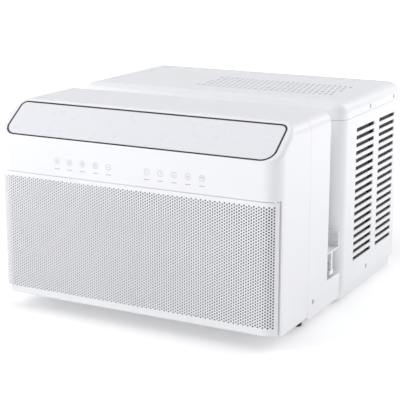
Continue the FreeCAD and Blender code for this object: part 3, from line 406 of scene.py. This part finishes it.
def perforated_grille():
    """Moulded panel with a staggered field of round holes, wrapped round both front corners."""
    low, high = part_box("grille_panel")
    turn = math.acos((FRONT + CORNER_RADIUS + SWING_CLEARANCE - high.y) / CORNER_RADIUS)
    half_length = HALF - CORNER_RADIUS + CORNER_RADIUS * turn - EDGE_ROUND
    foot, top = low.z + EDGE_ROUND, high.z - EDGE_ROUND
    verts, faces, known = [], [], {}

    def vertex(along, up, inward=0.0):
        key = (round(along / MM, 3), round(up / MM, 3), round(inward / MM, 3))
        if key not in known:
            known[key] = len(verts)
            verts.append(wrap(along, up, inward))
        return known[key]

    columns = int(half_length / COLUMN_PITCH) + 2
    rows = int((top - foot) / HOLE_PITCH) + 2
    corner = HOLE_PITCH / math.sqrt(3)
    for i in range(-columns, columns + 1):
        for j in range(-1, rows + 1):
            along, up = i * COLUMN_PITCH, foot + (j + 0.5 * (i % 2)) * HOLE_PITCH
            hexagon = [(along + corner * math.cos(math.radians(60 * k)),
                        up + corner * math.sin(math.radians(60 * k))) for k in range(6)]
            holed = (abs(along) < half_length - SOLID_SIDE
                     and foot + SOLID_FOOT < up < top - SOLID_TOP)
            if not holed:
                cut = clip(clip(hexagon, -half_length, half_length, 0), foot, top, 1)
                ids = list(dict.fromkeys(vertex(*p) for p in cut))
                if len(ids) > 2:
                    faces.append(ids)
                continue
            outer = [vertex(*p) for p in hexagon]
            inner = []
            for k in range(HOLE_SIDES):
                angle = 2 * math.pi * k / HOLE_SIDES
                inner.append(len(verts))
                verts.append(wrap(along + HOLE_RADIUS * math.cos(angle),
                                  up + HOLE_RADIUS * math.sin(angle), 0.0))
            for k in range(6):
                faces.append([outer[k], outer[(k + 1) % 6], inner[(2 * k + 2) % HOLE_SIDES],
                              inner[2 * k + 1], inner[2 * k]])
    # the rounded rim: each border edge is carried round a quarter circle into the panel's depth
    edges = {}
    for face in faces:
        for a, b in zip(face, list(face[1:]) + [face[0]]):
            edges[(a, b)] = True
    place = {index: key for key, index in known.items()}
    steps = 3

    def rim(index, step):
        along, up, _ = (v * MM for v in place[index])
        angle = math.pi / 2 * step / steps
        out, deep = EDGE_ROUND * math.sin(angle), EDGE_ROUND * (1 - math.cos(angle))
        side = 0.0 if abs(abs(along) - half_length) > 1e-6 else math.copysign(1.0, along)
        rise = 1.0 if abs(up - top) < 1e-6 else -1.0 if abs(up - foot) < 1e-6 else 0.0
        return vertex(along + side * out, up + rise * out, deep)

    for a, b in [e for e in edges if (e[1], e[0]) not in edges and e[0] in place and e[1] in place]:
        for step in range(steps):
            faces.append([rim(b, step), rim(a, step), rim(a, step + 1), rim(b, step + 1)])
    made = piece("perforated_grille", verts, faces, "grille", "white_plastic", "grille_panel")
    solid = made.modifiers.new("wall", "SOLIDIFY")
    solid.thickness, solid.offset = PANEL_THICKNESS, -1.0
    apply_modifiers(made)
    made.data.shade_smooth()
    made.data.set_sharp_from_angle(angle=math.radians(35))
    return made


# a dark sheet just behind the grille's holes: painted shade standing for the dark inside behind the panel
GRILLE_SHADE_DEPTH, GRILLE_SHADE_THICKNESS = 2.4 * MM, 0.3 * MM
GRILLE_SHADE_SIDE, GRILLE_SHADE_FOOT, GRILLE_SHADE_TOP = 3.0 * MM, 4 * MM, 3 * MM  # short of the panel's edges
GRILLE_SHADE_STEPS = 12  # facets round each corner


def grille_shade_sheet():
    """Dark sheet on the back of the perforated panel, following both corners: painted shade, so that the
    holes read dark.
    """
    low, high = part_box("grille_panel")
    flat = HALF - CORNER_RADIUS
    turn = math.acos((FRONT + CORNER_RADIUS - high.y) / CORNER_RADIUS)
    reach = CORNER_RADIUS * turn - GRILLE_SHADE_SIDE
    lengths = [flat + reach * i / GRILLE_SHADE_STEPS for i in range(GRILLE_SHADE_STEPS + 1)]
    lengths = [-v for v in reversed(lengths)] + lengths
    verts, faces = [], []
    for along in lengths:
        for up in (low.z + GRILLE_SHADE_FOOT, high.z - GRILLE_SHADE_TOP):
            for inward in (GRILLE_SHADE_DEPTH, GRILLE_SHADE_DEPTH + GRILLE_SHADE_THICKNESS):
                verts.append(wrap(along, up, inward))
    for i in range(len(lengths) - 1):
        a, b = 4 * i, 4 * i + 4
        for p, q in ((0, 2), (2, 3), (3, 1), (1, 0)):
            faces.append((a + p, b + p, b + q, a + q))
    last = 4 * (len(lengths) - 1)
    faces.extend([(0, 2, 3, 1), (last, last + 1, last + 3, last + 2)])
    piece("grille_shade_sheet", verts, faces, "grille", "filter_mesh")


PEG_RADIUS, PEG_SIDES = 2 * MM, 20
PEG_NEAR, PEG_FAR = 6.1 * MM, 15 * MM  # span in from the casing's side
PEG_IN, PEG_UP = 12.5 * MM, 29.5 * MM  # hinge line, in from the front and up from the floor


def grille_pegs():
    """The two hinge pegs at the foot of the panel."""
    for name, side in (("left", -1), ("right", 1)):
        verts, faces = [], []
        for x in (side * (HALF - PEG_FAR), side * (HALF - PEG_NEAR)):
            for i in range(PEG_SIDES):
                turn = 2 * math.pi * i / PEG_SIDES
                verts.append((x, FRONT + PEG_IN + PEG_RADIUS * math.cos(turn),
                              PEG_UP + PEG_RADIUS * math.sin(turn)))
        for i in range(PEG_SIDES):
            j = (i + 1) % PEG_SIDES
            faces.append((i, j, PEG_SIDES + j, PEG_SIDES + i))
        faces.extend([tuple(reversed(range(PEG_SIDES))), tuple(range(PEG_SIDES, 2 * PEG_SIDES))])
        piece("grille_peg_" + name, verts, faces, "grille", "white_plastic")


# black sheets behind the side slots: painted shade standing for the dark inside of the case
SLOT_SHADE_NEAR, SLOT_SHADE_FAR = 3.4 * MM, 3.9 * MM  # span in from the casing's side
SLOT_SHADE_SPANS = ((36 * MM, 127 * MM), (141 * MM, 228 * MM))  # of each column of slots, from the case's front
SLOT_SHADE_FOOT, SLOT_SHADE_TOP = 20 * MM, 12 * MM  # short of the case's foot and top


def slot_shade_sheets():
    """Black sheets behind the louvred sides of the outdoor case: painted shade, so that the slots read
    dark.
    """
    low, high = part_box("outdoor_case")
    for name, side in (("left", -1), ("right", 1)):
        verts, faces = [], []
        near, far = sorted(side * (HALF - inset) for inset in (SLOT_SHADE_NEAR, SLOT_SHADE_FAR))
        for start, end in SLOT_SHADE_SPANS:
            box_mesh((near, low.y + start, low.z + SLOT_SHADE_FOOT),
                     (far, low.y + end, high.z - SLOT_SHADE_TOP), verts, faces)
        piece("slot_shade_sheet_" + name, verts, faces, "chassis", "black_rubber")


# ---------------------------------------------------------------- painted shadow line round the louver door

OUTLET_SLOPE = math.radians(36.4)  # of the casing's front slope, from level
# the black strip round the door is painted shadow of the gap, laid on the casing
GAP_SHADOW_NEAR, GAP_SHADOW_FAR = 0.7 * MM, 3.0 * MM  # span outward from the door's edge
GAP_SHADOW_LOW, GAP_SHADOW_HIGH = 0.03 * MM, 0.25 * MM  # above the slope
FACE_SLACK = 0.05 * MM  # how far below the outer face a corner still counts as on it


def outlet_gap_shadow():
    """Thin black strip on the casing, all round the louver door: painted shadow of the gap between door and
    casing.
    """
    door = NODES["louver_door"]
    bpy.context.view_layer.update()
    points = [door.matrix_world @ vertex.co for vertex in door.data.vertices]
    normal = Vector((0, -math.sin(OUTLET_SLOPE), math.cos(OUTLET_SLOPE)))
    uphill = Vector((0, math.cos(OUTLET_SLOPE), math.sin(OUTLET_SLOPE)))
    level = max(point.dot(normal) for point in points)
    edges = set()
    for face in door.data.polygons:
        if min(points[i].dot(normal) for i in face.vertices) > level - FACE_SLACK:
            ring = [(round(points[i].x, 6), round(points[i].dot(uphill), 6)) for i in face.vertices]
            edges.update(zip(ring, ring[1:] + ring[:1]))
    following = {a: b for a, b in edges if (b, a) not in edges}
    outline = [min(following)]
    while following[outline[-1]] != outline[0]:
        outline.append(following[outline[-1]])
    verts, faces = [], []
    for before, here, after in zip(outline[-1:] + outline, outline, outline[1:] + outline[:1]):
        here = Vector(here)
        ahead = ((here - Vector(before)).normalized() + (Vector(after) - here).normalized()).normalized()
        for reach in (GAP_SHADOW_NEAR, GAP_SHADOW_FAR):
            x, rise = here + Vector((ahead.y, -ahead.x)) * reach
            for height in (GAP_SHADOW_LOW, GAP_SHADOW_HIGH):
                verts.append(Vector((x, 0, 0)) + uphill * rise + normal * (level + height))
    for i in range(len(outline)):
        a, b = 4 * i, 4 * ((i + 1) % len(outline))
        for p, q in ((0, 2), (2, 3), (3, 1), (1, 0)):
            faces.append((a + p, a + q, b + q, b + p))
    piece("outlet_gap_shadow", verts, faces, "chassis", "black_rubber")


# ---------------------------------------------------------------- printed touch keys

KEY_HEIGHT = 256.5 * MM
KEY_RADIUS = 4.5 * MM
KEY_LINE = 0.45 * MM  # width of the printed lines
KEY_COUNT = 5
KEY_GROUPS = ((-84.5 * MM, 23.8 * MM), (78.7 * MM, 23.6 * MM))  # middle of each row, and its pitch
PRINT_PROUD, PRINT_DEEP = 0.03 * MM, 0.1 * MM
BAR_DROP, BAR_PITCH = 12 * MM, 3.1 * MM  # the dashes under each key
BAR_HALF, BAR_WIDTH = 1.1 * MM, 1.1 * MM


def ribbon(points, width, verts, faces, closed=False):
    """Adds a thin printed line along 2-D points (x, z) on the front face."""
    count = len(points)
    first = len(verts)
    for i, (x, z) in enumerate(points):
        before = points[(i - 1) % count] if closed or i else (x, z)
        after = points[(i + 1) % count] if closed or i < count - 1 else (x, z)
        ahead = Vector((after[0] - before[0], after[1] - before[1])).normalized()
        for side in (-0.5, 0.5):
            for y in (FRONT - PRINT_PROUD, FRONT + PRINT_DEEP):
                verts.append((x - ahead.y * side * width, y, z + ahead.x * side * width))
    for i in range(count if closed else count - 1):
        a, b = first + 4 * i, first + 4 * ((i + 1) % count)
        for p, q in ((0, 2), (2, 3), (3, 1), (1, 0)):
            faces.append((a + p, b + p, b + q, a + q))
    if not closed:
        last = first + 4 * (count - 1)
        faces.append((first, first + 2, first + 3, first + 1))
        faces.append((last, last + 1, last + 3, last + 2))


def arc(x, z, radius, start, end, steps=20):
    turns = [math.radians(start + (end - start) * i / steps) for i in range(steps + 1)]
    return [(x + radius * math.cos(t), z + radius * math.sin(t)) for t in turns]


def glyph(kind, x, z):
    """Plain marks inside a key: bars, crossed lines, a box, chevrons, rings or a dial."""
    reach = KEY_RADIUS * 0.42
    lines = {
        0: [[(x, z), (x, z + reach)], arc(x, z, reach, 120, 420)],
        1: [[(x - reach, z + d * reach), (x + reach, z + d * reach)] for d in (-0.6, 0.0, 0.6)],
        2: [[(x - reach, z - reach), (x + reach, z + reach)],
            [(x - reach, z + reach), (x + reach, z - reach)],
            [(x, z - reach), (x, z + reach)]],
        3: [[(x - reach, z - reach), (x + reach, z - reach), (x + reach, z + reach), (x - reach, z + reach),
             (x - reach, z - reach)], [(x - reach, z), (x + reach, z)]],
        4: [[(x - reach, z + reach * 0.4), (x, z - reach * 0.6), (x + reach, z + reach * 0.4)]],
        5: [[(x - reach, z - reach * 0.4), (x, z + reach * 0.6), (x + reach, z - reach * 0.4)]],
        6: [[(x, z - reach), (x, z + reach)], [(x, z + reach), (x + reach, z + reach * 0.2)]],
        7: [arc(x, z - reach * 0.3, reach * 0.7, -210, 30), [(x, z + reach), (x, z)]],
        8: [arc(x + d * reach * 0.5, z, reach * 0.5, 0, 360) for d in (-1.0, 1.0)],
        9: [[(x, z), (x + reach, z)], [(x, z), (x, z + reach)], arc(x, z, reach * 1.3, -30, 210)],
    }
    return lines[kind]


def touch_keys():
    """Two rows of printed rings, each with a plain mark and three dashes under it."""
    verts, faces = [], []
    kind = 0
    for middle, pitch in KEY_GROUPS:
        for i in range(KEY_COUNT):
            x = middle + (i - (KEY_COUNT - 1) / 2) * pitch
            ribbon(arc(x, KEY_HEIGHT, KEY_RADIUS, 0, 350, 35), KEY_LINE, verts, faces)
            for line in glyph(kind, x, KEY_HEIGHT):
                ribbon(line, KEY_LINE, verts, faces)
            for part in (-1, 0, 1):
                bar, low = x + part * BAR_PITCH, KEY_HEIGHT - BAR_DROP
                ribbon([(bar - BAR_HALF, low), (bar + BAR_HALF, low)], BAR_WIDTH, verts, faces)
            kind += 1
    piece("touch_key_print", verts, faces, "chassis", "grey_plastic", material=key_print())


# ---------------------------------------------------------------- finned cores

FIN_PITCH = 1.9 * MM
FIN_THICKNESS = 0.2 * MM
FIN_WAVE = 0.35 * MM
FIN_FOLDS = 6


def finned_core(name, node):
    """A stack of corrugated foil fins filling the space of one CAD core."""
    low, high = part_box(node)
    count = int((high.x - low.x) / FIN_PITCH)
    verts, faces = [], []
    for i in range(count):
        middle = low.x + (high.x - low.x) * (i + 0.5) / count
        first = len(verts)
        for fold in range(FIN_FOLDS + 1):
            y = low.y + (high.y - low.y) * fold / FIN_FOLDS
            shift = FIN_WAVE * (1 if fold % 2 else -1) * 0.5
            for side in (-0.5, 0.5):
                x = middle + shift + side * FIN_THICKNESS
                verts.extend([(x, y, low.z), (x, y, high.z)])
        for fold in range(FIN_FOLDS):
            a, b = first + 4 * fold, first + 4 * fold + 4
            for p, q in ((0, 1), (1, 3), (3, 2), (2, 0)):
                faces.append((a + p, b + p, b + q, a + q))
        last = first + 4 * FIN_FOLDS
        faces.append((first, first + 1, first + 3, first + 2))
        faces.append((last, last + 2, last + 3, last + 1))
    return piece(name, verts, faces, "chassis", "fin_aluminium", node)


FILTER_RIM, FILTER_RIB = 8 * MM, 2.4 * MM  # widths of the frame and of its ribs
FILTER_COLUMNS, FILTER_ROWS = 6, 3
UPRIGHT_INSET, CROSS_INSET = MM, 1.2 * MM  # of the ribs from both faces of the frame
GAUZE_HALF = 0.2 * MM
FILTER_EDGE = 0.4 * MM


def filter_screen():
    """Washable filter: a moulded frame with ribs over a sheet of gauze."""
    low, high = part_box("air_filter")
    verts, faces = [], []
    for x in (low.x, high.x - FILTER_RIM):
        box_mesh((x, low.y, low.z), (x + FILTER_RIM, high.y, high.z), verts, faces)
    for z in (low.z, high.z - FILTER_RIM):
        box_mesh((low.x + FILTER_RIM, low.y, z),
                 (high.x - FILTER_RIM, high.y, z + FILTER_RIM), verts, faces)
    inner = (low.x + FILTER_RIM, low.z + FILTER_RIM, high.x - FILTER_RIM, high.z - FILTER_RIM)
    for i in range(1, FILTER_COLUMNS):
        x = inner[0] + (inner[2] - inner[0]) * i / FILTER_COLUMNS
        box_mesh((x - FILTER_RIB / 2, low.y + UPRIGHT_INSET, inner[1]),
                 (x + FILTER_RIB / 2, high.y - UPRIGHT_INSET, inner[3]), verts, faces)
    for i in range(1, FILTER_ROWS):
        z = inner[1] + (inner[3] - inner[1]) * i / FILTER_ROWS
        box_mesh((inner[0], low.y + CROSS_INSET, z - FILTER_RIB / 2),
                 (inner[2], high.y - CROSS_INSET, z + FILTER_RIB / 2), verts, faces)
    ribs = piece("filter_frame", verts, faces, "chassis", "dark_plastic")
    edge = ribs.modifiers.new("edge", "BEVEL")
    edge.width, edge.segments = FILTER_EDGE, 2
    apply_modifiers(ribs)
    verts, faces = [], []
    middle = (low.y + high.y) / 2
    box_mesh((inner[0], middle - GAUZE_HALF, inner[1]),
             (inner[2], middle + GAUZE_HALF, inner[3]), verts, faces)
    piece("filter_gauze", verts, faces, "chassis", "filter_mesh", "air_filter")


# ---------------------------------------------------------------- studio

CAMERA_AZIMUTH, CAMERA_ELEVATION = 27.957, 13.955  # degrees
CAMERA_PLACE = Vector((0.9329, -1.7990, 0.6527))
CAMERA_LENS = 107.94
LIGHT_TARGET = Vector((-0.02, 0.0, 0.146))


def direction(azimuth, elevation):
    """Unit vector from the object towards a point that far round and up."""
    a, e = math.radians(azimuth), math.radians(elevation)
    return Vector((math.sin(a) * math.cos(e), -math.cos(a) * math.cos(e), math.sin(e)))


def camera():
    data = bpy.data.cameras.new("camera")
    data.lens, data.sensor_width = CAMERA_LENS, 36.0
    data.clip_start, data.clip_end = 0.05, 60.0
    made = bpy.data.objects.new("camera", data)
    bpy.context.scene.collection.objects.link(made)
    back = direction(CAMERA_AZIMUTH, CAMERA_ELEVATION)
    made.location = CAMERA_PLACE
    made.rotation_mode = "QUATERNION"
    made.rotation_quaternion = (-back).to_track_quat("-Z", "Y")
    bpy.context.scene.camera = made


def softbox(name, azimuth, elevation, distance, size, power):
    data = bpy.data.lights.new(name, "AREA")
    data.shape, data.size, data.energy = "SQUARE", size, power
    made = bpy.data.objects.new(name, data)
    bpy.context.scene.collection.objects.link(made)
    towards = direction(azimuth, elevation)
    made.location = LIGHT_TARGET + towards * distance
    made.rotation_mode = "QUATERNION"
    made.rotation_quaternion = (-towards).to_track_quat("-Z", "Y")


FLOOR_HALF = 15.0
SKY_COLOUR, SKY_STRENGTH = (0.97, 0.975, 1.0, 1.0), 0.5
SOFTBOXES = (  # name, azimuth, elevation, distance, size, watts
    ("key_front_left", -48, 34, 3.0, 1.8, 44),
    ("key_rear_right", 138, 30, 3.0, 1.8, 36),
    ("top", 0, 88, 3.2, 3.0, 20),
)


def studio():
    """White floor, even sky and three soft lights."""
    mesh = bpy.data.meshes.new("floor")
    corners = [(x * FLOOR_HALF, y * FLOOR_HALF, 0) for x, y in ((-1, -1), (1, -1), (1, 1), (-1, 1))]
    mesh.from_pydata(corners, [], [(0, 1, 2, 3)])
    mesh.materials.append(pale_floor())
    floor = bpy.data.objects.new("floor", mesh)
    bpy.context.scene.collection.objects.link(floor)
    world = bpy.data.worlds.new("studio")
    bpy.context.scene.world = world
    world.use_nodes = True
    sky = world.node_tree.nodes["Background"].inputs
    sky["Color"].default_value = SKY_COLOUR
    sky["Strength"].default_value = SKY_STRENGTH
    for settings in SOFTBOXES:
        softbox(*settings)
    bpy.context.scene.view_settings.view_transform = "Standard"


dress_cad_nodes()
perforated_grille()
grille_shade_sheet()
grille_pegs()
slot_shade_sheets()
outlet_gap_shadow()
touch_keys()
finned_core("condenser_core", "condenser_fins")
finned_core("evaporator_core", "evaporator_fins")
filter_screen()
camera()
studio()
